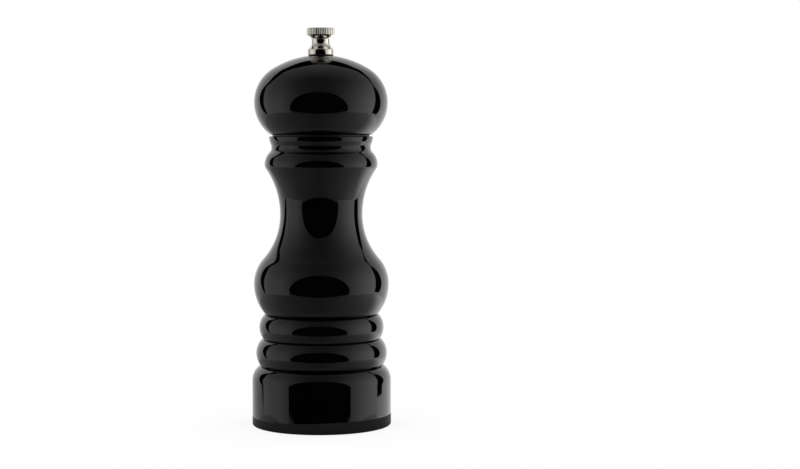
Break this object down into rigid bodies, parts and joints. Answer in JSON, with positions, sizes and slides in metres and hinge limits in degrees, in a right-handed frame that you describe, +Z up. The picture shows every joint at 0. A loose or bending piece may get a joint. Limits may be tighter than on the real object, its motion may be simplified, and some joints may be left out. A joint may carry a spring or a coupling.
{
  "type": "pepper mill",
  "caption": "Turned hand pepper mill in gloss black: bored body with a ceramic burr grinder in its foot, a domed head that turns and lifts off, and a knurled nut that sets the grind.",
  "frame": {"origin": "centre of the foot, on the face that the mill stands on", "axes": "+Z up along the mill's axis; +X and +Y square to it"},
  "size_m": [0.06, 0.06, 0.1709],
  "materials": {
    "black_lacquer": "high-gloss black lacquer over turned hardwood; bores bare wood",
    "bright_plate": "polished nickel-chrome plate, knurled rim",
    "black_nylon": "moulded nylon, fine satin texture",
    "white_acetal": "moulded natural acetal, satin",
    "ceramic": "sintered white ceramic, matt with ground edges",
    "aluminium": "drawn aluminium, fine lengthwise lines",
    "steel": "stamped zinc-plated steel, satin",
    "spring_steel": "drawn spring wire, bright"
  },
  "bodies": {
    "mill_body": {"body_shell": "black_lacquer", "slip_washer": "black_nylon", "grinder_housing": "black_nylon", "housing_screws": "steel", "burr_retainer": "black_nylon", "stator_burr": "ceramic", "spring_bridge": "steel", "bridge_bush": "white_acetal"},
    "spring_drive": {"thrust_washer": "steel", "grinder_spring": "spring_steel"},
    "shaft": {"drive_shaft": "aluminium", "shaft_clip": "spring_steel", "spring_seat": "steel", "rotor_hub": "white_acetal", "rotor_burr": "ceramic", "rotor_washer": "steel", "rotor_screw": "steel"},
    "head": {"head_knob": "black_lacquer", "drive_plate": "aluminium", "drive_plate_screws": "steel"},
    "nut": {"finial_nut": "bright_plate"}
  },
  "joints": [
    {"name": "head_turn", "type": "hinge", "parent": "mill_body", "child": "spring_drive", "pos_m": [0, 0, 0.0316], "axis": [0, 0, 1], "continuous": true},
    {"name": "grind_adjust", "type": "slide", "parent": "spring_drive", "child": "shaft", "axis": [0, 0, 1], "range_m": [0, 0.002], "deforming": ["grinder_spring"]},
    {"name": "head_lift", "type": "slide", "parent": "spring_drive", "child": "head", "axis": [0, 0, 1], "range_m": [0, 0.06]},
    {"name": "nut_turn", "type": "hinge", "parent": "head", "child": "nut", "pos_m": [0, 0, 0.1589], "axis": [0, 0, 1], "range_deg": [-900, 0]}
  ],
  "couplings": [
    {"joint": "nut_turn", "follows": "grind_adjust", "rad_per_m": -7854}
  ]
}
